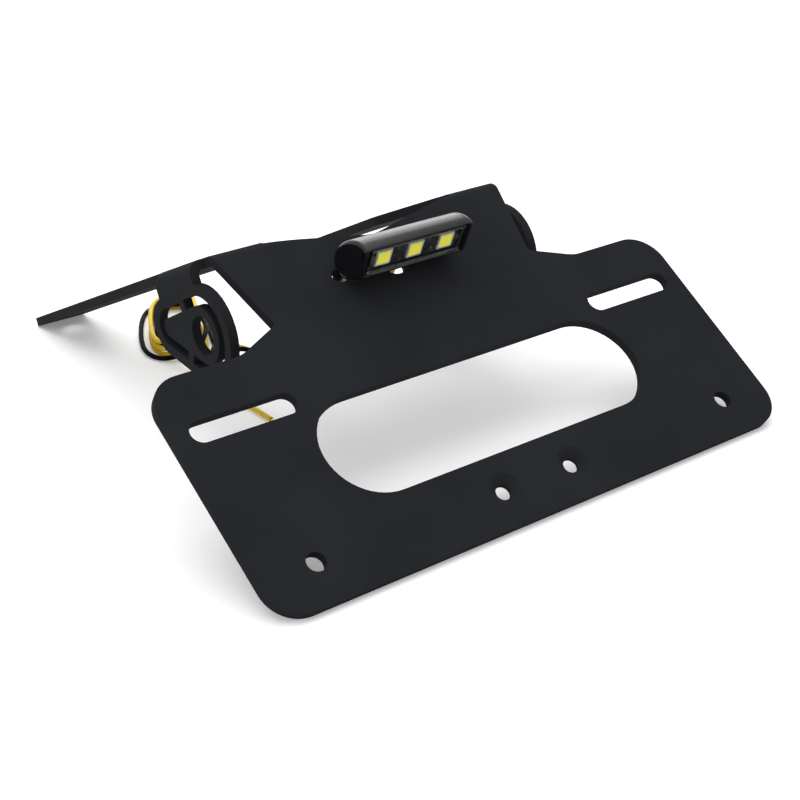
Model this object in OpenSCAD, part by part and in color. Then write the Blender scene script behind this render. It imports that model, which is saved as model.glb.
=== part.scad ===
// Tail tidy: a folded sheet bracket that holds a number plate and a small LED plate lamp.
// It stands on a flat surface like a tent, on the plate's lower edge and the two prong tips.

/* [Plate face] */
// Width of the face that carries the number plate
plate_w = 190; // [170:1:220]
// Height of that face, up to its shoulders
plate_h = 76.4; // [74:0.2:84]
// Radius of the face's four corners
corner_r = 10.6; // [6:0.2:13]
// Thickness of the folded sheet
sheet_t = 3; // [2.4:0.1:3.4]
// Width of the round-ended window
window_w = 116; // [90:1:124]
// Height of the window
window_h = 32.4; // [24:0.2:34]
// Height of the window's middle above the lower edge
window_y = 38.4; // [36:0.2:40]
// Length of the two upper plate slots
slot_len = 33.8; // [20:0.2:36]
// Width of the upper plate slots
slot_w = 7; // [6.6:0.1:7.6]
// Distance of each slot's middle from the centre line
slot_x = 72.5; // [71:0.5:74]
// Height of the slots above the lower edge
slot_y = 58; // [57.5:0.5:64]

/* [Plate holes] */
// Diameter of the two outer lower holes
outer_hole_d = 5.8; // [4:0.1:7]
// Distance of the outer holes from the centre line
outer_hole_x = 77; // [66:0.5:79]
// Height of the outer holes
outer_hole_y = 12.2; // [9:0.1:14]
// Diameter of the two inner lower holes
inner_hole_d = 4.6; // [3.4:0.1:6]
// Diameter of their countersinks at the face
sink_d = 10.6; // [7:0.1:11.6]
// Depth of their countersinks
sink_depth = 2.1; // [1:0.1:2.3]
// Distance of the inner holes from the centre line
inner_hole_x = 12.9; // [9:0.1:20]
// Height of the inner holes
inner_hole_y = 11.3; // [8:0.1:14]

/* [Neck and fold] */
// Half width at which the shoulders leave the plate's upper edge
shoulder_x = 63; // [60:0.5:70]
// Half width of the neck at its waist
waist_x = 48; // [44:0.2:52]
// Height of the waist
waist_y = 82.8; // [81.6:0.2:88]
// Half width of the fold and of the prongs' outer edges
fold_x = 53.5; // [52:0.5:57]
// Height at which the flat face ends and the fold begins
fold_y = 108.4; // [102:0.2:116]
// Angle that the sheet is folded through
fold_angle = 59.1; // [50:0.1:66]
// Inside radius of every bend
bend_r = 1.2; // [0.8:0.1:2]
// Height of the lowest point of the notch in the fold
notch_y = 103.4; // [101.5:0.2:106]
// Half width of the notch where it crosses the fold
notch_x = 35.5; // [32:0.5:38]

/* [Prongs] */
// Length from the end of the fold to the prong tips
prong_len = 136.6; // [122:0.2:152]
// Half width of the gap at its narrowest
gap_x = 24.4; // [18:0.2:32]
// Distance from the fold of the narrowest place
gap_y = 26.6; // [22:0.2:34]
// Half width of the gap between the prongs
prong_x = 35; // [32:0.5:38]
// Distance from the fold at which the prongs' inner edges run straight
prong_y = 81.6; // [68:0.2:86]
// Radius of the prong tips' corners
tip_r = 1; // [0.6:0.2:4]
// Diameter of the four fixing holes
fixing_d = 6.6; // [5:0.1:8.4]
// Distance of the rear fixing holes from the prong tips
fixing_end = 11; // [9:0.5:16]
// Spacing of the fixing holes along each prong
fixing_step = 32; // [24:1:36]

/* [Indicator ears] */
// Length of flat tab between the prong's outer edge and the ear's bend
ear_flat = 1; // [0.6:0.1:2]
// Distance from the fold of the near edge of each ear's neck
ear_near = 3.9; // [3.2:0.1:5.6]
// Distance from the fold of the far edge of each ear's neck
ear_far = 27.1; // [24.6:0.1:28]
// Radius of the ear's disc
ear_r = 15; // [14:0.1:16]
// Distance from the fold of the disc's middle
ear_y = 6.7; // [6.4:0.1:7.6]
// Depth of the disc's middle below the upper face
ear_depth = 21.5; // [21:0.1:24]
// Radius of the ear's rear lobe
lobe_r = 9; // [8:0.1:10]
// Distance from the fold of the lobe's middle
lobe_y = 25.9; // [24.6:0.1:27.6]
// Depth of the lobe's middle
lobe_depth = 16.6; // [16:0.1:18]
// Diameter of the indicator hole
ear_hole_d = 12; // [8.4:0.1:13]
// Width of the rim outside the ear's looped slots
loop_rim = 3.15; // [2.8:0.05:3.6]
// Width of the looped slots
loop_w = 3; // [2.2:0.1:3.2]
// Width of the two bridges between the looped slots
bridge_w = 2.8; // [2:0.1:3.6]
// Place of the bridges along the straight flanks of the loop
bridge_at = 0.35; // [0.25:0.01:0.5]

/* [Plate lamp] */
// Overall length of the lamp housing
lamp_len = 40.4; // [38:0.2:46]
// Amount by which each end leans in from base to top
lamp_draft = 1.1; // [0.4:0.1:1.6]
// Height on the neck of the lamp's base
lamp_y = 91.6; // [91:0.1:93]
// Distance of the lens rim's middle in front of the base's middle
rim_offset = 5.6; // [5.2:0.1:5.8]
// Height of the lens rim's middle above the base
rim_height = 10.5; // [10.2:0.1:10.8]
// Angle of the lens rim to the neck's face
rim_angle = 90; // [88:0.5:92]
// Length of the pocket behind the lens
pocket_len = 35.4; // [34:0.2:36]
// Height of the pocket behind the lens
pocket_h = 10.4; // [10:0.1:10.8]
// Depth of the pocket
pocket_depth = 4.4; // [4.2:0.1:4.5]
// Clearance of the lens and the board in the pocket
pocket_play = 0.2; // [0.1:0.05:0.3]
// Thickness of the clear lens
lens_t = 1.7; // [1.4:0.1:1.9]
// Height of the lens above its rim
lens_proud = 0.4; // [0.2:0.1:0.8]
// Thickness of the circuit board
board_t = 1; // [0.8:0.1:1.2]
// Side of each square LED
led_side = 5; // [4:0.1:5.4]
// Height of each LED above the board
led_h = 1.5; // [1.2:0.1:1.6]
// Spacing of the LEDs
led_step = 11.6; // [9:0.1:12]

/* [Lamp fixings] */
// Distance of each lamp screw from the centre line
screw_x = 15.6; // [14:0.1:16]
// Diameter of the lamp screws
screw_d = 3; // [2.5:0.1:3.2]
// Depth of the tapped holes in the housing
tap_depth = 5; // [4:0.1:5.4]
// Length of the slots that the screws pass through
fixing_slot_len = 13; // [9:0.2:13.4]
// Width of those slots
fixing_slot_w = 4.6; // [4:0.1:5]
// Thickness of the rubber spacers under the lamp
spacer_t = 1; // [0.6:0.1:1.4]
// Outer diameter of the spacers
spacer_d = 7; // [6:0.1:7.6]
// Outer diameter of the flat washers
washer_d = 9; // [8:0.1:10]
// Thickness of the flat washers
washer_t = 0.8; // [0.6:0.1:1.2]
// Outer diameter of the spring washers
spring_d = 5.6; // [5.2:0.1:6.2]
// Thickness of the spring washers
spring_t = 0.9; // [0.7:0.1:1.2]
// Diameter of the screw heads
head_d = 5.5; // [5:0.1:6]
// Height of the screw heads
head_h = 2.2; // [1.8:0.1:3]

/* [Wires] */
// Diameter of each insulated wire
wire_d = 1.7; // [1.3:0.1:2]
// Diameter of the hole in the neck that the wires pass through
wire_hole_d = 8; // [6:0.2:8.4]
// Bore in the lamp's base that the wires come out of
wire_bore_d = 4.4; // [4.2:0.1:4.8]
// Length of bare conductor at the end of each wire
bare_len = 8; // [4:1:12]

/* [Hidden] */
bend_out = bend_r + sheet_t;
corner_y = fold_y + bend_out * tan(fold_angle / 2);
// Lower corner of the prong tips, in the plate face's frame
tip_y = fold_y + prong_len * cos(fold_angle) + bend_r * sin(fold_angle);
tip_z = -bend_out - prong_len * sin(fold_angle) + bend_r * cos(fold_angle);
tilt = atan2(-tip_z - sheet_t, tip_y);
foot_len = norm([tip_y, tip_z + sheet_t]);
prong_lean = fold_angle - tilt;
front_y = -sheet_t * sin(tilt);
back_y = foot_len + sheet_t * sin(prong_lean);
mid_y = (front_y + back_y) / 2;
half_plate = plate_w / 2;
ear_x = fold_x + ear_flat + bend_out;
lamp_top = 20.2;
fixing_y = lamp_y + 1;
lens_len = pocket_len - 2 * pocket_play;
lens_h = pocket_h - 2 * pocket_play;
led_top = lens_proud - lens_t - 0.2;
board_top = led_top - led_h;
wire_gap = 2.1;
overcut = 1;
fold_lap = 1;
lead_in = 4.4;
// A point of the lamp's wire bore at height z above the lamp's base, in the frame of the whole part
function in_bore(z) = let (t = z + spacer_t + sheet_t)
    [0, lamp_y * cos(tilt) - t * sin(tilt) - mid_y, lamp_y * sin(tilt) + t * cos(tilt)];
// The wires' routes, in the same frame
coil_mid = [-18, 72];
coil_turn = 60;
coil_len = 52;
coil_w = 25;
coil_ring = 6.6;
coil_h = 6;
wire_drop = [in_bore(lead_in), in_bore(1), in_bore(-4), [0, -25, 41], [0, -16, 32], [0, -4, 24.5],
             [0, 9, 19], [0, 18, 15], [-1.2, 23.2, 12.3], [-6, 26.8, 9.4], [-12, 28.6, 7.6], [-17.8, 32, 7.7],
             [-21.4, 37.6, 9.2], [-22.4, 43.6, 11], [-22.4, 47.6, 11.5], [-22.4, 50, 10.6],
             [-22.4, 51.3, 9], [-22.4, 51.5, 7.4], [-22.4, 51.5, 6]];
tail_yellow = [[-29.4, 52.5, 6], [-29.4, 52.5, 7.2], [-29.4, 52.5, 8.4], [-29.4, 51.6, 11], [-29.5, 49.2, 12.3],
               [-29.6, 45.5, 12], [-29.8, 40.2, 8.2], [-30, 34.7, 3.8], [-30.2, 29.3, 1.3],
               [-30.6, 17, 0.95], [-31, 4, 0.95], [-31, -9, 0.95]];
tail_black = [[-26, 51.4, 6], [-26, 51.4, 7.2], [-26, 51.4, 8.4], [-26, 50.5, 11], [-26, 48.1, 12.3],
              [-26, 44.4, 12], [-26, 39.1, 8.2], [-25.9, 33.6, 3.8], [-25.6, 28.2, 1.3],
              [-23.5, 20, 0.95], [-18.5, 14.6, 0.95], [-12, 11.6, 0.95]];

$fn = 64;

// Places a piece that is drawn in the plate face's frame: x across, y up the face, z out of it.
module at_rest() {
    translate([0, -mid_y, 0]) rotate([tilt, 0, 0]) translate([0, 0, sheet_t]) children();
}

// Places a piece drawn in the prongs' frame: y away from the fold's end, z out of the upper face.
module on_prongs() {
    translate([0, fold_y, -bend_out]) rotate([-fold_angle, 0, 0]) translate([0, 0, bend_out]) children();
}

module both_sides() {
    children();
    mirror([1, 0, 0]) children();
}

function arc(mid, r, from, to, steps) =
    [for (i = [0:steps]) let (a = from + (to - from) * i / steps) mid + r * [cos(a), sin(a)]];

// Points that round off the corner b between a and c with radius r.
function fillet(a, b, c, r, steps = 6) =
    let (u = (a - b) / norm(a - b), v = (c - b) / norm(c - b), half = acos(u * v) / 2,
         cut = r / tan(half), bis = (u + v) / norm(u + v), mid = b + bis * (r / sin(half)),
         p = b + u * cut - mid, q = b + v * cut - mid, a0 = atan2(p[1], p[0]),
         turn = atan2(p[0] * q[1] - p[1] * q[0], p * q))
    [for (i = [0:steps]) let (k = a0 + turn * i / steps) mid + r * [cos(k), sin(k)]];

module slot_shape(len, w) {
    square([len - w, w], center = true);
    for (s = [-1, 1]) translate([s * (len - w) / 2, 0]) circle(d = w);
}

module half_face_outline() {
    foot = [half_plate, 0];
    top = [half_plate, plate_h];
    shoulder = [shoulder_x, plate_h];
    waist = [waist_x, waist_y];
    fold = [fold_x, fold_y];
    polygon(concat([[0, 0]],
        fillet([0, 0], foot, top, corner_r, 12),
        fillet(foot, top, shoulder, corner_r, 12),
        fillet(top, shoulder, waist, 12),
        fillet(shoulder, waist, fold, 1),
        [fold, [0, fold_y]]));
}

module notch_outline() {
    r = 14;
    slope = atan2(corner_y - notch_y, notch_x);
    polygon(concat([[-notch_x, corner_y]],
        arc([0, notch_y + r / cos(slope)], r, -90 - slope, -90 + slope, 8),
        [[notch_x, corner_y], [notch_x, corner_y + 20], [-notch_x, corner_y + 20]]));
}

module face_holes() {
    translate([0, window_y]) slot_shape(window_w, window_h, $fn = 96);
    for (s = [-1, 1]) {
        translate([s * slot_x, slot_y]) slot_shape(slot_len, slot_w);
        translate([s * outer_hole_x, outer_hole_y]) circle(d = outer_hole_d);
        translate([s * screw_x, fixing_y]) slot_shape(fixing_slot_len, fixing_slot_w);
    }
    translate([0, lamp_y]) circle(d = wire_hole_d);
}

module face_plate() {
    translate([0, 0, -sheet_t]) linear_extrude(sheet_t) difference() {
        both_sides() half_face_outline();
        face_holes();
    }
}

// The two countersunk holes, each cut in one turn of its own profile.
module sunk_holes() {
    r = inner_hole_d / 2;
    flare = (sink_d / 2 - r) / sink_depth;
    for (s = [-1, 1]) translate([s * inner_hole_x, inner_hole_y, 0]) rotate_extrude()
        polygon([[0, -sheet_t - overcut], [r, -sheet_t - overcut], [r, -sink_depth],
                 [r + flare * (sink_depth + overcut), overcut], [0, overcut]]);
}

// A bend of the sheet about the x axis: it starts straight above the axis and turns towards +y.
module bend(width, angle, inset = 0) {
    rotate([0, -90, 0]) rotate_extrude(angle = angle, $fn = 96)
        translate([bend_r + inset, -width / 2]) square([sheet_t - 2 * inset, width]);
}

// The fold between the face and the prongs: its two ends run on a little inside the flat sheet.
module fold_bend() {
    inset = 0.02;
    translate([0, fold_y, -bend_out]) rotate([fold_lap, 0, 0])
        bend(2 * (fold_x - 3 * inset), fold_angle + 2 * fold_lap, inset);
}

module half_prong_outline() {
    start = [notch_x, 0];
    near = [gap_x, gap_y];
    far = [prong_x, prong_y];
    inner = [prong_x, prong_len];
    outer = [fold_x, prong_len];
    polygon(concat([[fold_x, 0], start],
        fillet(start, near, far, 8),
        fillet(near, far, inner, 60),
        fillet(far, inner, outer, tip_r),
        fillet(inner, outer, [fold_x, 0], tip_r)));
}

module fixing_holes() {
    for (k = [0, 1]) translate([(prong_x + fold_x) / 2, prong_len - fixing_end - k * fixing_step])
        circle(d = fixing_d);
}

module prongs() {
    translate([0, 0, -sheet_t]) linear_extrude(sheet_t) both_sides() difference() {
        union() {
            half_prong_outline();
            translate([fold_x - 1, ear_near]) square([1 + ear_flat, ear_far - ear_near]);
        }
        fixing_holes();
    }
}

// The ends of one flank of two joined discs: side is 1 for the left flank from a to b, -1 for the right.
function flank(a, ra, b, rb, side) =
    let (d = b - a, k = atan2(d[1], d[0]) + side * acos((ra - rb) / norm(d)))
    [a + ra * [cos(k), sin(k)], b + rb * [cos(k), sin(k)]];

// Two discs and the straight flanks that join them.
module joined_discs(a, ra, b, rb) {
    translate(a) circle(r = ra);
    translate(b) circle(r = rb);
    polygon(concat(flank(a, ra, b, rb, -1), [b, for (k = [1, 0]) flank(a, ra, b, rb, 1)[k], a]));
}

disc_mid = [ear_y, -ear_depth];
lobe_mid = [lobe_y, -lobe_depth];

module loop_disc(inset) {
    joined_discs(disc_mid, ear_r - inset, lobe_mid, lobe_r - inset, $fn = 120);
}

// The looped slots follow the ear's edge round the hole and the lobe, and two bridges part them.
module loop_slots() {
    middle = loop_rim + loop_w / 2;
    difference() {
        loop_disc(loop_rim);
        loop_disc(loop_rim + loop_w);
        for (side = [-1, 1]) {
            q = flank(disc_mid, ear_r - middle, lobe_mid, lobe_r - middle, side);
            translate(q[0] + bridge_at * (q[1] - q[0])) rotate(atan2(q[1][1] - q[0][1], q[1][0] - q[0][0]))
                square([bridge_w, 3 * loop_w], center = true);
        }
    }
}

// The ear's outline, drawn with x away from the fold and y up towards the upper face.
module ear_outline() {
    difference() {
        union() {
            loop_disc(0);
            translate([ear_near, -lobe_depth]) square([ear_far - ear_near, lobe_depth - bend_out]);
        }
        translate(disc_mid) circle(d = ear_hole_d);
        loop_slots();
    }
}

module ear() {
    translate([ear_x - sheet_t, 0, 0]) rotate([90, 0, 90]) linear_extrude(sheet_t) ear_outline();
    translate([ear_x - bend_out, (ear_near + ear_far) / 2, -bend_out])
        rotate([0, 0, -90]) bend(ear_far - ear_near, 90);
}

module bracket() {
    color([0.17, 0.175, 0.19]) at_rest() difference() {
        union() {
            face_plate();
            fold_bend();
            on_prongs() {
                prongs();
                both_sides() ear();
            }
        }
        sunk_holes();
        translate([0, 0, -bend_out - overcut]) linear_extrude(bend_out + 2 * overcut) notch_outline();
    }
}

// Places a piece on the lamp's base: y up the neck from the lamp's middle, z out from the base.
module on_lamp() {
    at_rest() translate([0, lamp_y, spacer_t]) children();
}

// Places a piece in the lens rim: y up the rim, z out of it.
module in_rim() {
    on_lamp() translate([0, -rim_offset, rim_height]) rotate([rim_angle, 0, 0]) children();
}

module lamp_profile() {
    heel = [1, 5.5];
    brow = [-2.8, 11.3];
    difference() {
        union() {
            joined_discs(heel, 5.5, brow, 6, $fn = 120);
            polygon([[-1.8, 0], [3.2, 0], [4.9, 3.4], [0, 11], [-6, 11], [-6, 4.2], [-3.6, 1]]);
        }
        translate([-rim_offset, rim_height]) rotate(rim_angle) translate([-30, 0]) square([60, 30]);
    }
}

module lamp_housing() {
    color([0.05, 0.05, 0.055]) on_lamp() difference() {
        intersection() {
            rotate([90, 0, 90]) linear_extrude(lamp_len + 2, center = true) lamp_profile();
            rotate([90, 0, 0]) linear_extrude(60, center = true)
                polygon([[-lamp_len / 2, -1], [lamp_len / 2, -1],
                         [lamp_len / 2 - lamp_draft, lamp_top], [-lamp_len / 2 + lamp_draft, lamp_top]]);
        }
        translate([0, -rim_offset, rim_height]) rotate([rim_angle, 0, 0])
            translate([-pocket_len / 2, -pocket_h / 2, -pocket_depth])
                cube([pocket_len, pocket_h, pocket_depth + 10]);
        translate([0, 0, -1]) cylinder(d = wire_bore_d, h = lead_in + 1);
        for (s = [-1, 1]) translate([s * screw_x, fixing_y - lamp_y, -1])
            cylinder(d = screw_d, h = tap_depth + 1);
    }
}

module rim_block(len, h, bottom, top) {
    translate([-len / 2, -h / 2, bottom]) cube([len, h, top - bottom]);
}

module lamp_lens() {
    color([0.85, 0.9, 0.92, 0.4]) in_rim() rim_block(lens_len, lens_h, lens_proud - lens_t, lens_proud);
}

// The bead that beds the lens: it stands on the board's rim and carries the lens' back face.
module lens_seal() {
    color([0.1, 0.1, 0.1]) in_rim() difference() {
        rim_block(lens_len, lens_h, board_top, lens_proud - lens_t);
        rim_block(lens_len - 2, lens_h - 2, board_top - 1, lens_proud);
    }
}

module lamp_board() {
    color([0.12, 0.14, 0.13]) in_rim() rim_block(lens_len, lens_h, board_top - board_t, board_top);
}

module led(k) {
    color([0.95, 0.9, 0.35]) in_rim() translate([k * led_step, 0, 0])
        rim_block(led_side, led_side, board_top, board_top + led_h);
}

module resistors() {
    color([0.2, 0.2, 0.2]) in_rim() for (p = [[-6.4, 2.4], [-5.2, -2.6], [5, 2.8], [6.4, -2.2], [16, 0]])
        translate([p[0], p[1], 0]) rim_block(1.1, 1.9, board_top, board_top + 0.6);
}

module polarity_diode() {
    color([0.12, 0.12, 0.12]) in_rim() translate([-15.9, 0, 0]) rim_block(1.6, 3.6, board_top, board_top + 1);
}

// A ring that lies on the neck, with its lower face at height z.
module lamp_ring(side, z, outer, inner, thick) {
    at_rest() translate([side * screw_x, fixing_y, z]) difference() {
        cylinder(d = outer, h = thick);
        translate([0, 0, -1]) cylinder(d = inner, h = thick + 2);
    }
}

module lamp_spacer(side) {
    color([0.08, 0.08, 0.08]) lamp_ring(side, 0, spacer_d, screw_d + 0.4, spacer_t);
}

module flat_washer(side) {
    color([0.75, 0.76, 0.78]) lamp_ring(side, -sheet_t - washer_t, washer_d, screw_d + 0.3, washer_t);
}

module spring_washer(side) {
    color([0.7, 0.71, 0.73]) difference() {
        lamp_ring(side, -sheet_t - washer_t - spring_t, spring_d, screw_d + 0.2, spring_t);
        at_rest() translate([side * screw_x, fixing_y, -sheet_t - washer_t - spring_t - 1])
            rotate([0, 0, 30]) translate([screw_d / 2 - 0.2, -0.25, 0]) cube([spring_d, 0.5, spring_t + 2]);
    }
}

module lamp_screw(side) {
    head_z = -sheet_t - washer_t - spring_t;
    color([0.75, 0.76, 0.78]) at_rest() translate([side * screw_x, fixing_y, head_z]) difference() {
        union() {
            cylinder(d = screw_d, h = -head_z + spacer_t + tap_depth - 0.6);
            translate([0, 0, -head_h]) cylinder(d = head_d, h = head_h);
        }
        translate([0, 0, -head_h - 1]) cylinder(d = 2.6, h = 2.2, $fn = 6);
    }
}

// A tube of the wire's size along the points, with an eight-sided section at each.
function side_dir(d) = let (s = cross(d, [1, 0, 0.02])) s / norm(s);
function path_dir(pts, i) =
    let (a = pts[max(i - 1, 0)], b = pts[min(i + 1, len(pts) - 1)]) (b - a) / norm(b - a);
function smooth_path(pts, per) =
    concat([for (i = [0:len(pts) - 2], k = [0:per - 1])
        let (p0 = pts[max(i - 1, 0)], p1 = pts[i], p2 = pts[i + 1], p3 = pts[min(i + 2, len(pts) - 1)], t = k / per)
        0.5 * (2 * p1 + (p2 - p0) * t + (2 * p0 - 5 * p1 + 4 * p2 - p3) * t * t
               + (3 * p1 - p0 - 3 * p2 + p3) * t * t * t)], [pts[len(pts) - 1]]);

module wire(pts, d) {
    n = len(pts);
    sides = 8;
    rings = [for (i = [0:n - 1]) let (t = path_dir(pts, i), u = side_dir(t), v = cross(t, u))
        [for (k = [0:sides - 1]) pts[i] + d / 2 * (cos(k * 45) * u + sin(k * 45) * v)]];
    polyhedron([for (r = rings) each r],
        concat([[for (k = [0:sides - 1]) k]],
               [for (i = [0:n - 2], k = [0:sides - 1]) let (a = i * sides, b = (k + 1) % sides)
                   [a + k, a + sides + k, a + sides + b, a + b]],
               [[for (k = [sides - 1:-1:0]) (n - 1) * sides + k]]));
}

// The points, each moved x to the right of the way that the path runs.
function beside(pts, x) = [for (i = [0:len(pts) - 1])
    let (d = path_dir(pts, i), h = norm([d[0], d[1]]), w = h > 0.05 ? [d[1], -d[0], 0] / h : [1, 0, 0]) pts[i] + x * w];

module drop_wire(x) {
    wire(beside(wire_drop, x), wire_d);
}

module wire_black() {
    color([0.07, 0.07, 0.07]) drop_wire(-wire_gap / 2);
}

module wire_yellow() {
    color([0.9, 0.75, 0.1]) drop_wire(wire_gap / 2);
}

module wire_coil() {
    color([0.3, 0.28, 0.1]) translate([coil_mid[0], coil_mid[1], 0]) rotate(coil_turn)
        linear_extrude(coil_h) difference() {
            slot_shape(coil_len, coil_w, $fn = 96);
            slot_shape(coil_len - 2 * coil_ring, coil_w - 2 * coil_ring, $fn = 96);
        }
}

module tail(pts) {
    wire(smooth_path(pts, 2), wire_d);
}

module bare_end(pts) {
    n = len(pts);
    d = (pts[n - 1] - pts[n - 2]) / norm(pts[n - 1] - pts[n - 2]);
    translate(pts[n - 1]) rotate([0, 90, atan2(d[1], d[0])]) cylinder(d = wire_d / 2, h = bare_len);
}

module tail_black() {
    color([0.07, 0.07, 0.07]) tail(tail_black);
}

module tail_yellow() {
    color([0.9, 0.75, 0.1]) tail(tail_yellow);
}

module bare_end_black() {
    color([0.8, 0.75, 0.7]) bare_end(tail_black);
}

module bare_end_yellow() {
    color([0.8, 0.75, 0.7]) bare_end(tail_yellow);
}

bracket();
lamp_housing();
lamp_lens();
lens_seal();
lamp_board();
led(-1);  // led_left
led(0);  // led_middle
led(1);  // led_right
resistors();
polarity_diode();
lamp_spacer(-1);  // lamp_spacer_left
lamp_spacer(1);  // lamp_spacer_right
flat_washer(-1);  // flat_washer_left
flat_washer(1);  // flat_washer_right
spring_washer(-1);  // spring_washer_left
spring_washer(1);  // spring_washer_right
lamp_screw(-1);  // lamp_screw_left
lamp_screw(1);  // lamp_screw_right
wire_black();
wire_yellow();
wire_coil();
tail_black();
tail_yellow();
bare_end_black();
bare_end_yellow();
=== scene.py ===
import math

import bpy
from mathutils import Matrix, Vector


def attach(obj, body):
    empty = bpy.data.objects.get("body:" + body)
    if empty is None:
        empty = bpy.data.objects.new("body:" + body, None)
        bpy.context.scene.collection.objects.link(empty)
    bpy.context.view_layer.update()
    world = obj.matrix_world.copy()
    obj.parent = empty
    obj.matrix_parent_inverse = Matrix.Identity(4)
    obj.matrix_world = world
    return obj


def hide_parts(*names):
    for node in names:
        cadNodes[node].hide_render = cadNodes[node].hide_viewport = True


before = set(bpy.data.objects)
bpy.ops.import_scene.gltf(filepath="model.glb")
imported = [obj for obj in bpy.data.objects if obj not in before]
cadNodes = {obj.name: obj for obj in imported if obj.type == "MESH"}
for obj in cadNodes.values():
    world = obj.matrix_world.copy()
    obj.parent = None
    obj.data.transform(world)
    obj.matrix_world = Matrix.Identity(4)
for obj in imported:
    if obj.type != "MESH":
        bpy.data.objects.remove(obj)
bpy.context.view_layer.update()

print("frame loaded:", len(cadNodes), "nodes")


# helpers for picking and placing

def letGo():
    if bpy.context.object and bpy.context.object.mode != "OBJECT":
        bpy.ops.object.mode_set(mode="OBJECT")
    bpy.ops.object.select_all(action="DESELECT")


def pick(piece):
    letGo()
    piece.select_set(True)
    bpy.context.view_layer.objects.active = piece


def settle(piece, material, nodes=()):  # its place goes into its mesh, then it joins the object
    pick(piece)
    bpy.ops.object.transform_apply(location=True, rotation=True, scale=True)
    piece.data.materials.clear()
    piece.data.materials.append(material)
    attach(piece, "root")
    if nodes:
        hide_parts(*nodes)
    return piece


# how the face leans, in degrees and mm, and where the lamp's middle is up the face and over it
standing = {"tilt": 33.2629, "middleY": 107.214, "sheet": 3.0, "lampUp": 91.6, "lampOver": 1.0}


def onFace(x, y, z):  # a point given on the plate face in mm: across, up the face, out of it
    a = math.radians(standing["tilt"])
    lift = z + standing["sheet"]
    return Vector((x, y * math.cos(a) - lift * math.sin(a) - standing["middleY"],
                   y * math.sin(a) + lift * math.cos(a))) / 1000


# camera

viewpoint = {"place": (-0.276924, -0.390934, 0.224811), "right": (0.787539, -0.616238, -0.005758),
             "up": (0.27096, 0.337859, 0.90135), "lens": 72.29}


def placeCamera():
    lens = bpy.data.cameras.new("viewCamera")
    lens.lens = viewpoint["lens"]
    lens.sensor_width = 36
    lens.clip_start, lens.clip_end = 0.01, 20
    camera = bpy.data.objects.new("viewCamera", lens)
    bpy.context.scene.collection.objects.link(camera)
    right, up = Vector(viewpoint["right"]), Vector(viewpoint["up"])
    turn = Matrix((right, up, right.cross(up))).transposed().to_4x4()
    camera.matrix_world = Matrix.Translation(viewpoint["place"]) @ turn
    bpy.context.scene.camera = camera
    print("camera placed")


placeCamera()


# finishes

def grain(tree, size, detail, stretch=(1, 1, 1)):  # noise with grains of about size metres
    place = tree.nodes.new("ShaderNodeTexCoord")
    fit = tree.nodes.new("ShaderNodeMapping")
    fit.inputs["Scale"].default_value = stretch
    noise = tree.nodes.new("ShaderNodeTexNoise")
    noise.inputs["Scale"].default_value = 1 / size
    noise.inputs["Detail"].default_value = detail
    tree.links.new(place.outputs["Object"], fit.inputs["Vector"])
    tree.links.new(fit.outputs["Vector"], noise.inputs["Vector"])
    return noise.outputs["Fac"]


def tinted(tree, fac, tints, edges):  # spreads the noise over two colours
    ramp = tree.nodes.new("ShaderNodeValToRGB")
    for stop, edge, tint in zip(ramp.color_ramp.elements, edges, tints):
        stop.position = edge
        stop.color = (*tint, 1)
    tree.links.new(fac, ramp.inputs["Fac"])
    return ramp.outputs["Color"]


def spread(tree, fac, low, high):  # spreads the noise over two numbers
    span = tree.nodes.new("ShaderNodeMapRange")
    span.inputs["From Min"].default_value, span.inputs["From Max"].default_value = 0.3, 0.7
    span.inputs["To Min"].default_value, span.inputs["To Max"].default_value = low, high
    tree.links.new(fac, span.inputs["Value"])
    return span.outputs["Result"]


def relief(tree, fac, depth, strength):  # bumps of about depth metres
    bump = tree.nodes.new("ShaderNodeBump")
    bump.inputs["Strength"].default_value = strength
    bump.inputs["Distance"].default_value = depth
    tree.links.new(fac, bump.inputs["Height"])
    return bump.outputs["Normal"]


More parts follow.
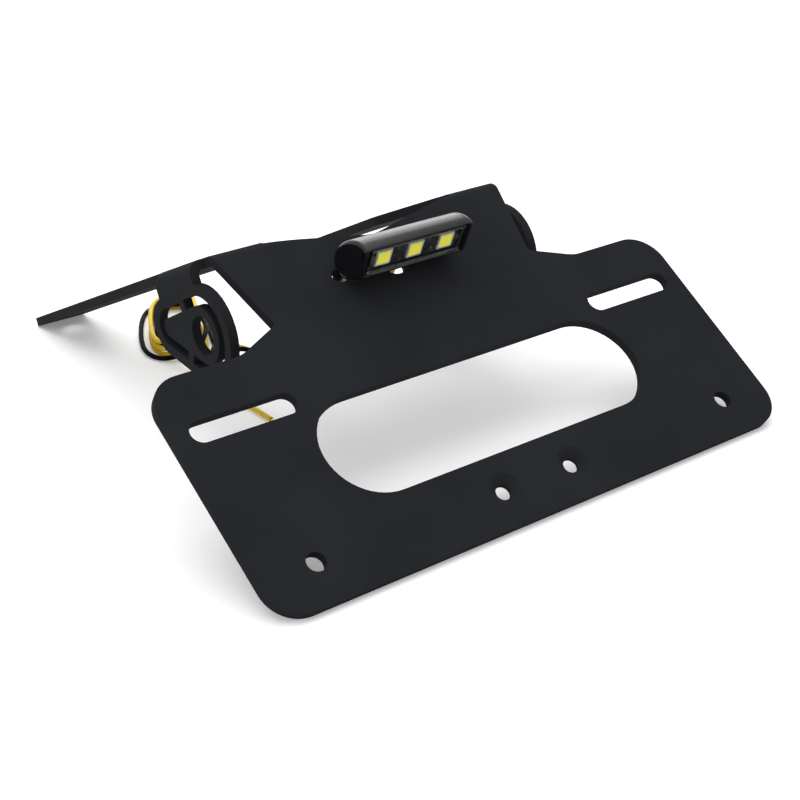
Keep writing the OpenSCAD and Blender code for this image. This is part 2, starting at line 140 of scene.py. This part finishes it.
# grain and cloud: size in metres, detail, stretch; relief: depth in metres, strength
looks = {
    "powderCoat": {"base": (0.0182, 0.019, 0.0215), "rough": 0.75, "level": 0.02, "grain": (0.0011, 2.5),
                   "cloud": (0.03, 3), "tints": ((0.0167, 0.0175, 0.02), (0.0197, 0.0206, 0.0234)),
                   "sheen": (0.7, 0.8), "relief": (0.00003, 0.7)},
    "lampEnamel": {"base": (0.006, 0.006, 0.0072), "rough": 0.2, "level": 0.3, "grain": (0.0016, 2),
                   "sheen": (0.17, 0.24), "relief": (0.00001, 0.5)},
    "clearPlastic": {"base": (0.95, 0.97, 0.98), "rough": 0.06, "grain": (0.004, 1),
                     "relief": (0.00001, 0.3), "also": {"Transmission Weight": 1.0, "IOR": 1.49}},
    "softRubber": {"base": (0.012, 0.012, 0.013), "rough": 0.7, "level": 0.35, "grain": (0.0009, 3),
                   "tints": ((0.009, 0.009, 0.01), (0.018, 0.018, 0.019)), "relief": (0.00002, 0.5)},
    "boardMask": {"base": (0.016, 0.022, 0.02), "rough": 0.4, "grain": (0.0005, 1, (1, 4, 1)),
                  "tints": ((0.012, 0.016, 0.015), (0.024, 0.032, 0.029)), "relief": (0.000006, 0.4)},
    # the yellow LED faces glow a little though the lamp is off: this glow is painted light that makes up
    # for the shade the lens casts inside the lamp
    "ledPhosphorPaintedGlow": {"base": (0.85, 0.78, 0.12), "rough": 0.35, "grain": (0.0004, 3),
                    "tints": ((0.86, 0.74, 0.04), (0.95, 0.88, 0.12)), "relief": (0.000006, 0.4),
                    "also": {"Emission Color": (1.0, 0.94, 0.07, 1), "Emission Strength": 0.42}},
    "ledFrame": {"base": (0.86, 0.86, 0.84), "rough": 0.35, "grain": (0.0005, 2),
                 "tints": ((0.8, 0.8, 0.78), (0.9, 0.9, 0.88))},
    "chipCeramic": {"base": (0.05, 0.05, 0.05), "rough": 0.45, "grain": (0.0004, 2), "edges": (0.4, 0.75),
                    "tints": ((0.03, 0.03, 0.032), (0.16, 0.16, 0.155))},
    "zincPlate": {"base": (0.62, 0.63, 0.65), "rough": 0.3, "metal": 1.0, "grain": (0.0006, 3, (1, 6, 1)),
                  "tints": ((0.52, 0.53, 0.55), (0.68, 0.69, 0.71)), "sheen": (0.24, 0.4),
                  "relief": (0.000008, 0.4)},
    "tinnedCopper": {"base": (0.72, 0.52, 0.4), "rough": 0.35, "metal": 1.0,
                     "grain": (0.0004, 2, (1, 1, 5)), "tints": ((0.6, 0.36, 0.24), (0.8, 0.66, 0.54)),
                     "relief": (0.00003, 0.8)},
    "blackWireSkin": {"base": (0.003, 0.003, 0.0035), "rough": 0.42, "level": 0.02, "grain": (0.0012, 2),
                      "tints": ((0.003, 0.003, 0.0035), (0.006, 0.006, 0.0065)), "sheen": (0.36, 0.5),
                      "relief": (0.00001, 0.5)},
    "yellowWireSkin": {"base": (0.72, 0.48, 0.015), "rough": 0.42, "level": 0.2, "grain": (0.0012, 2),
                       "tints": ((0.72, 0.48, 0.015), (0.83, 0.6, 0.03)), "sheen": (0.36, 0.5),
                       "relief": (0.00001, 0.5)}}


def mixFinish(name, look):
    finish = bpy.data.materials.new(name)
    finish.use_nodes = True
    tree = finish.node_tree
    shader = tree.nodes["Principled BSDF"]
    shader.inputs["Base Color"].default_value = (*look["base"], 1)
    shader.inputs["Roughness"].default_value = look["rough"]
    shader.inputs["Metallic"].default_value = look.get("metal", 0.0)
    shader.inputs["Specular IOR Level"].default_value = look.get("level", 0.5)
    for socket, value in look.get("also", {}).items():
        shader.inputs[socket].default_value = value
    fine = grain(tree, *look["grain"])
    if "tints" in look:
        broad = grain(tree, *look["cloud"]) if "cloud" in look else fine
        tint = tinted(tree, broad, look["tints"], look.get("edges", (0.35, 0.65)))
        tree.links.new(tint, shader.inputs["Base Color"])
    if "sheen" in look:
        tree.links.new(spread(tree, fine, *look["sheen"]), shader.inputs["Roughness"])
    if "relief" in look:
        tree.links.new(relief(tree, fine, *look["relief"]), shader.inputs["Normal"])
    return finish


finishes = {name: mixFinish(name, look) for name, look in looks.items()}
print("finishes mixed")


# the two leads

# mm and degrees; the coil's long axis is turned, and half is half the length of its straight part
leads = {"thick": 1.7, "apart": 1.05, "middle": (-18.0, 72.0), "turned": 60.0, "half": 13.5, "step": 15,
         "bluntness": 2}
# each lead's lane in the coil: the angle round it, the reach from its long axis and the height
lanes = {"black": ((-75, 11.6, 0.86), (150, 11.6, 0.86), (215, 11.6, 2.9), (250, 11.6, 4.95),
                   (310, 6.2, 4.95), (350, 6.1, 2.9), (510, 6.1, 2.9), (575, 6.1, 4.95), (600, 6.1, 6.95),
                   (670, 6.1, 6.95), (710, 6.1, 4.95), (885, 6.1, 5.1)),
         "yellow": ((-75, 8, 0.86), (150, 8.1, 0.86), (215, 8.1, 2.9), (510, 8.1, 2.9), (575, 8.1, 4.95),
                    (600, 8.1, 6.95), (670, 8.1, 6.95), (710, 8.1, 4.95), (858, 8.1, 5.0))}


def lampBore(side, height):  # a point in the lamp's wire bore
    spot = onFace(side, standing["lampUp"], standing["lampOver"] + height) * 1000
    return (spot.x, spot.y, spot.z)


def coilSpot(angle, lane):  # on a long round-ended loop, counter-clockwise from above
    for (start, nearer, low), (end, further, high) in zip(lane, lane[1:]):
        if angle <= end:
            break
    t = (angle - start) / (end - start)
    t = t * t * (3 - 2 * t)  # eases from one knot of the lane to the next
    bearing = math.radians(angle)
    wobble = 0.16 * math.sin(2 * bearing + 0.4) + 0.1 * math.sin(0.7 * bearing)
    outward = nearer + (further - nearer) * t + wobble
    across = outward * math.sin(bearing)
    straight = math.tanh(leads["bluntness"] * math.cos(bearing)) / math.tanh(leads["bluntness"])
    along = outward * math.cos(bearing) + leads["half"] * straight
    turned = math.radians(leads["turned"])
    return (leads["middle"][0] + along * math.cos(turned) - across * math.sin(turned),
            leads["middle"][1] + along * math.sin(turned) + across * math.cos(turned),
            low + (high - low) * t)


def coilTurns(lane):
    first, last = lane[0][0], lane[-1][0]
    count = round((last - first) / leads["step"])
    return [coilSpot(first + (last - first) * k / count, lane) for k in range(count + 1)]


def layLead(name, spots, skin):  # a round lead through the spots, mm
    line = bpy.data.curves.new(name, "CURVE")
    line.dimensions = "3D"
    line.bevel_depth = leads["thick"] / 2000
    line.bevel_resolution = 4
    line.resolution_u = 5
    line.use_fill_caps = True
    spline = line.splines.new("BEZIER")
    spline.bezier_points.add(len(spots) - 1)
    for knot, spot in zip(spline.bezier_points, spots):
        knot.co = Vector(spot) / 1000
        knot.handle_left_type = knot.handle_right_type = "AUTO"
    lead = bpy.data.objects.new(name, line)
    bpy.context.scene.collection.objects.link(lead)
    line.materials.append(skin)
    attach(lead, "root")
    return lead


def outOfLamp(side):  # from the board through the bore and down behind the neck
    return [lampBore(side, 4.4), lampBore(side, 1), lampBore(side, -4), (side, -25, 41), (side, -16, 32),
            (side, -4, 24.5), (side, 9, 19)]


def leadBlack():
    spots = outOfLamp(-leads["apart"])
    spots += [(-1.4, 16, 15.3), (-3.2, 20.4, 12), (-7.4, 23.4, 9.4), (-12.8, 25, 7.9), (-18, 28, 8.8),
              (-21, 33.4, 6.8), (-21.2, 39.6, 4.8), (-18.5, 44.8, 3.3), (-14.6, 50.4, 1.35),
              (-11.7, 56.6, 0.97)]
    spots += coilTurns(lanes["black"])
    spots += [(-27.6, 51.9, 6.7), (-26.2, 47, 6.2), (-25.9, 40.5, 3.9), (-25.8, 33.6, 2),
              (-25.2, 26.5, 1.1), (-23, 19.5, 0.95), (-18.3, 14.6, 0.95), (-12, 11.6, 0.95)]
    lead = layLead("leadBlack", spots, finishes["blackWireSkin"])
    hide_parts("wire_black", "wire_coil", "tail_black")
    return lead, spots


def leadYellow():
    spots = outOfLamp(leads["apart"])
    spots += [(0.6, 18, 14.6), (-1.6, 23.2, 11.2), (-6.4, 26, 8), (-11.8, 28, 5.9), (-16.4, 31.6, 7.9),
              (-18.8, 37, 4.4), (-19.4, 43, 1.4), (-18.1, 49, 0.88), (-14.3, 57, 0.86), (-10.7, 64, 0.86)]
    spots += coilTurns(lanes["yellow"])
    spots += [(-31.9, 56, 5.8), (-31.6, 50.5, 6.2), (-31, 44, 5.4), (-30.4, 37, 3.6), (-30.2, 29.5, 1.6),
              (-30.6, 20, 0.98), (-31, 10, 0.95), (-31, 1, 0.95), (-31, -9, 0.95)]
    lead = layLead("leadYellow", spots, finishes["yellowWireSkin"])
    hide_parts("wire_yellow", "tail_yellow")
    return lead, spots


def reach(spots):  # the length along the spots, m
    return sum((Vector(a) - Vector(b)).length for a, b in zip(spots, spots[1:])) / 1000


blackLead, blackSpots = leadBlack()
yellowLead, yellowSpots = leadYellow()
print("leads laid:", round(reach(blackSpots), 3), round(reach(yellowSpots), 3))


# the folded bracket and the lamp

def mergedCopy(node, name, gap):  # a copy of a CAD node with its loose triangles joined into clean faces
    piece = bpy.data.objects.new(name, cadNodes[node].data.copy())
    bpy.context.scene.collection.objects.link(piece)
    pick(piece)
    bpy.ops.object.mode_set(mode="EDIT")
    bpy.ops.mesh.select_all(action="SELECT")
    bpy.ops.mesh.remove_doubles(threshold=gap)
    bpy.ops.mesh.dissolve_limited(angle_limit=math.radians(0.5))
    bpy.ops.object.mode_set(mode="OBJECT")
    return piece


def softenEdges(piece, width, steps, sharp=30):
    bevel = piece.modifiers.new("softEdges", "BEVEL")
    bevel.width = width
    bevel.segments = steps
    bevel.limit_method = "ANGLE"
    bevel.angle_limit = math.radians(sharp)
    bevel.use_clamp_overlap = True
    pick(piece)
    bpy.ops.object.modifier_apply(modifier="softEdges")
    bpy.ops.object.shade_smooth_by_angle(angle=math.radians(35))
    even = piece.modifiers.new("evenNormals", "WEIGHTED_NORMAL")  # keeps the broad flat faces evenly lit
    even.mode = "FACE_AREA"
    even.weight = 80
    even.keep_sharp = True
    bpy.ops.object.modifier_apply(modifier="evenNormals")


sheet = {"joinGap": 0.00007, "edge": 0.0003, "steps": 2}


def foldedBracket():
    piece = mergedCopy("bracket", "foldedBracket", sheet["joinGap"])
    softenEdges(piece, sheet["edge"], sheet["steps"])
    settle(piece, finishes["powderCoat"], ["bracket"])
    print("bracket:", len(piece.data.polygons), "faces")


# the lamp in its own frame, mm and degrees: y up the neck from the lamp's middle, z out from its base
housing = {"middle": (-0.9, 8.2), "lean": 33, "long": 9.4, "short": 5.9, "length": 40.4, "cap": 1.7,
           "rounding": 1.2, "lensAt": (-5.37, 11.25), "lensLean": 10, "rim": 0.6, "pocket": 3.4,
           "proud": 0.3, "overlap": 0.1, "edge": 0.00025, "capEdge": 0.0002}


def lampFrame():
    a = math.radians(standing["tilt"])
    turn = Matrix(((1, 0, 0), (0, math.cos(a), -math.sin(a)), (0, math.sin(a), math.cos(a)))).to_4x4()
    return Matrix.Translation(onFace(0, standing["lampUp"], standing["lampOver"])) @ turn


def rimFrame(place, lean):  # x along the lens, y up it, z out of it
    a = math.radians(lean)
    turn = Matrix(((1, 0, 0), (0, math.sin(a), -math.cos(a)), (0, math.cos(a), math.sin(a)))).to_4x4()
    return lampFrame() @ Matrix.Translation(Vector((0, place[0], place[1])) / 1000) @ turn


def ovalBar(name, start, end):  # a bar of the housing's oval section with a flat base
    bpy.ops.mesh.primitive_cylinder_add(vertices=96, radius=1, depth=1)
    bar = bpy.context.object
    bar.name = name
    a = math.radians(housing["lean"])
    up, out = housing["long"] / 1000, housing["short"] / 1000
    shape = Matrix(((0, 0, (end - start) / 1000), (-math.sin(a) * up, math.cos(a) * out, 0),
                    (math.cos(a) * up, math.sin(a) * out, 0))).to_4x4()
    place = Vector(((start + end) / 2, *housing["middle"])) / 1000
    bar.data.transform(Matrix.Translation(place) @ shape)
    pick(bar)
    bpy.ops.object.mode_set(mode="EDIT")
    bpy.ops.mesh.select_all(action="SELECT")
    bpy.ops.mesh.normals_make_consistent(inside=False)
    bpy.ops.mesh.bisect(plane_co=(0, 0, 0), plane_no=(0, 0, -1), use_fill=True, clear_outer=True)
    bpy.ops.object.mode_set(mode="OBJECT")
    return bar


def cutFront(bar, facing, proud):  # cuts the bar off along the lens
    bpy.ops.object.mode_set(mode="EDIT")
    bpy.ops.mesh.select_all(action="SELECT")
    bpy.ops.mesh.bisect(plane_co=(Vector((0, *housing["lensAt"])) + facing * proud) / 1000, plane_no=facing,
                        use_fill=True, clear_outer=True)


def lampHousing():
    half, cap = housing["length"] / 2, housing["cap"]
    reachIn = half - cap + housing["overlap"]
    body = ovalBar("lampHousing", -reachIn, reachIn)
    a = math.radians(housing["lensLean"])
    facing = Vector((0, -math.cos(a), math.sin(a)))
    cutFront(body, facing, 0)
    bpy.ops.mesh.select_mode(type="FACE")
    bpy.ops.mesh.select_all(action="DESELECT")
    bpy.ops.object.mode_set(mode="OBJECT")
    for face in body.data.polygons:
        face.select = face.normal.dot(facing) > 0.999
    bpy.ops.object.mode_set(mode="EDIT")
    bpy.ops.mesh.inset(thickness=housing["rim"] / 1000, depth=0)
    bpy.ops.mesh.inset(thickness=0.00002, depth=-housing["pocket"] / 1000)
    bpy.ops.object.mode_set(mode="OBJECT")
    softenEdges(body, housing["edge"], 2, 40)
    caps = []
    for side in (-1, 1):
        ends = sorted((side * half, side * (half - cap)))
        end = ovalBar("lampCap", *ends)
        cutFront(end, facing, housing["proud"])
        bpy.ops.mesh.select_mode(type="EDGE")
        bpy.ops.mesh.select_all(action="DESELECT")
        bpy.ops.object.mode_set(mode="OBJECT")
        for edge in end.data.edges:
            spots = [end.data.vertices[index].co for index in edge.vertices]
            edge.select = all(abs(spot.x - side * half / 1000) < 0.00001 for spot in spots)
        bpy.ops.object.mode_set(mode="EDIT")
        bpy.ops.mesh.bevel(offset=housing["rounding"] / 1000, segments=5)
        bpy.ops.object.mode_set(mode="OBJECT")
        softenEdges(end, housing["capEdge"], 2, 50)
        caps.append(end)
    pick(body)
    for end in caps:
        end.select_set(True)
    bpy.ops.object.join()
    body.matrix_world = lampFrame()
    settle(body, finishes["lampEnamel"], ["lamp_housing"])
    print("lamp housing:", len(body.data.polygons), "faces")


def lensBlock(name, size, low, high):  # a block for the lens rim, mm; its callers round its edges
    bpy.ops.mesh.primitive_cube_add(size=0.001)
    block = bpy.context.object
    block.name = name
    middle = Matrix.Translation((0, 0, (low + high) / 2000))
    block.data.transform(middle @ Matrix.Diagonal((*size, high - low, 1)))
    return block


lensShape = {"size": (35.2, 9.5), "bottom": -1.1, "top": 0.25, "edge": 0.0005}


def lampLens():
    lens = lensBlock("lampLens", lensShape["size"], lensShape["bottom"], lensShape["top"])
    softenEdges(lens, lensShape["edge"], 4)
    lens.matrix_world = rimFrame(housing["lensAt"], housing["lensLean"])
    settle(lens, finishes["clearPlastic"], ["lamp_lens"])


ledShape = {"side": 5.5, "frame": 0.3, "dip": 0.1, "bottom": -2.15, "top": -1.4, "apart": 11.6}
# where the CAD part has its rim, the depth of its board, and how much narrower the scene's rim is
cadRim = {"place": (-5.6, 10.5), "board": 0.003, "narrower": 0.94}


def rimCopy(node, name, look, depth=1):  # a copy of a piece behind the lens, turned with the lens
    piece = mergedCopy(node, name, 0.00001)
    below = Matrix.Translation((0, 0, ledShape["bottom"] / 1000))
    board = Matrix.Translation((0, 0, cadRim["board"]))
    narrow = Matrix.Diagonal((1, cadRim["narrower"], depth, 1))
    fit = rimFrame(housing["lensAt"], housing["lensLean"]) @ below @ narrow @ board
    piece.data.transform(fit @ rimFrame(cadRim["place"], 0).inverted())
    softenEdges(piece, 0.00008, 1)
    settle(piece, finishes[look], [node])


def oneLed():  # a case round a slightly sunken face, left selected; placeLed makes the case white and the face yellow
    piece = lensBlock("ledMiddle", (ledShape["side"],) * 2, ledShape["bottom"], ledShape["top"])
    softenEdges(piece, 0.00015, 2)
    bpy.ops.object.mode_set(mode="EDIT")
    bpy.ops.mesh.select_mode(type="FACE")
    bpy.ops.mesh.select_all(action="DESELECT")
    bpy.ops.object.mode_set(mode="OBJECT")
    for face in piece.data.polygons:
        face.select = face.normal.z > 0.999
    bpy.ops.object.mode_set(mode="EDIT")
    bpy.ops.mesh.inset(thickness=ledShape["frame"] / 1000, depth=0)
    bpy.ops.mesh.inset(thickness=0.00008, depth=-ledShape["dip"] / 1000)
    bpy.ops.object.mode_set(mode="OBJECT")
    return piece


def placeLed(piece, node, step):
    chosen = [face.index for face in piece.data.polygons if face.select]
    piece.data.transform(Matrix.Translation((step * ledShape["apart"] / 1000, 0, 0)))
    piece.matrix_world = rimFrame(housing["lensAt"], housing["lensLean"])
    settle(piece, finishes["ledFrame"], [node])
    # the sunken faces take the yellow finish whose glow is painted light
    piece.data.materials.append(finishes["ledPhosphorPaintedGlow"])
    for index in chosen:
        piece.data.polygons[index].material_index = 1


foldedBracket()
lampHousing()
lampLens()
rimCopy("lamp_board", "lampBoard", "boardMask")
rimCopy("lens_seal", "lensSeal", "softRubber", 0.6)
rimCopy("resistors", "chipResistors", "chipCeramic")
rimCopy("polarity_diode", "polarityDiode", "chipCeramic")

firstLed = oneLed()
for node, name, step in (("led_left", "ledLeft", -1), ("led_right", "ledRight", 1)):
    twin = bpy.data.objects.new(name, firstLed.data.copy())
    bpy.context.scene.collection.objects.link(twin)
    placeLed(twin, node, step)
placeLed(firstLed, "led_middle", 0)
print("lamp dressed")


# finishes for the pieces that stay as CAD made them

plainPieces = {"lamp_spacer_left": "softRubber", "lamp_spacer_right": "softRubber",
               "flat_washer_left": "zincPlate", "flat_washer_right": "zincPlate",
               "spring_washer_left": "zincPlate", "spring_washer_right": "zincPlate",
               "lamp_screw_left": "zincPlate", "lamp_screw_right": "zincPlate",
               "bare_end_black": "tinnedCopper", "bare_end_yellow": "tinnedCopper"}
for node, look in plainPieces.items():
    piece = cadNodes[node]
    piece.data.materials.clear()
    piece.data.materials.append(finishes[look])
print("finishes assigned")


# floor, sky and lamps

studio = {"floorSize": 6.0, "floorGlow": 0.19, "floorColour": 0.96, "sky": 0.74}


def seenRays(tree):  # 1 for what the camera sees, also by reflection or through the lens
    rays = tree.nodes.new("ShaderNodeLightPath")
    fac = rays.outputs["Is Camera Ray"]
    for kind in ("Is Glossy Ray", "Is Transmission Ray"):
        either = tree.nodes.new("ShaderNodeMath")
        either.operation = "MAXIMUM"
        tree.links.new(fac, either.inputs[0])
        tree.links.new(rays.outputs[kind], either.inputs[1])
        fac = either.outputs[0]
    return fac


def paleFloor():
    letGo()
    bpy.ops.mesh.primitive_plane_add(size=studio["floorSize"], location=(0, 0, 0))
    floor = bpy.context.object
    floor.name = "paleFloor"
    finish = bpy.data.materials.new("paleFloor")
    finish.use_nodes = True
    tree = finish.node_tree
    shader = tree.nodes["Principled BSDF"]
    shader.inputs["Base Color"].default_value = (studio["floorColour"],) * 3 + (1,)
    shader.inputs["Roughness"].default_value = 0.9
    shader.inputs["Specular IOR Level"].default_value = 0.0
    glow = tree.nodes.new("ShaderNodeMath")
    glow.operation = "MULTIPLY"
    glow.inputs[1].default_value = studio["floorGlow"]
    tree.links.new(seenRays(tree), glow.inputs[0])
    shader.inputs["Emission Color"].default_value = (1, 1, 1, 1)
    tree.links.new(glow.outputs[0], shader.inputs["Emission Strength"])
    floor.data.materials.append(finish)


def whiteSky():
    world = bpy.data.worlds.new("whiteSky")
    world.use_nodes = True
    bpy.context.scene.world = world
    tree = world.node_tree
    back = tree.nodes["Background"]
    back.inputs["Color"].default_value = (1, 1, 1, 1)
    level = tree.nodes.new("ShaderNodeMapRange")
    level.inputs["To Min"].default_value = studio["sky"]
    level.inputs["To Max"].default_value = 1.0
    tree.links.new(seenRays(tree), level.inputs["Value"])
    tree.links.new(level.outputs["Result"], back.inputs["Strength"])


softBoxes = {
    "overhead": {"place": (0.0, 0.15, 1.0), "aim": (0, 0, 0), "size": 1.3, "power": 6.5},
    "leftFront": {"place": (-0.9, -0.5, 0.7), "aim": (0, 0, 0.03), "size": 0.7, "power": 0.8},
    "rearRight": {"place": (0.75, 0.85, 0.5), "aim": (0, 0, 0.03), "size": 0.8, "power": 3.0}}


def lightUp():
    for name, box in softBoxes.items():
        lamp = bpy.data.lights.new(name, "AREA")
        lamp.shape = "SQUARE"
        lamp.size = box["size"]
        lamp.energy = box["power"]
        holder = bpy.data.objects.new(name, lamp)
        bpy.context.scene.collection.objects.link(holder)
        holder.location = box["place"]
        aim = Vector(box["aim"]) - Vector(box["place"])
        holder.rotation_euler = aim.to_track_quat("-Z", "Y").to_euler()


paleFloor()
whiteSky()
lightUp()
bpy.context.scene.view_settings.view_transform = "Standard"
letGo()
bpy.context.view_layer.update()
print("scene ready")
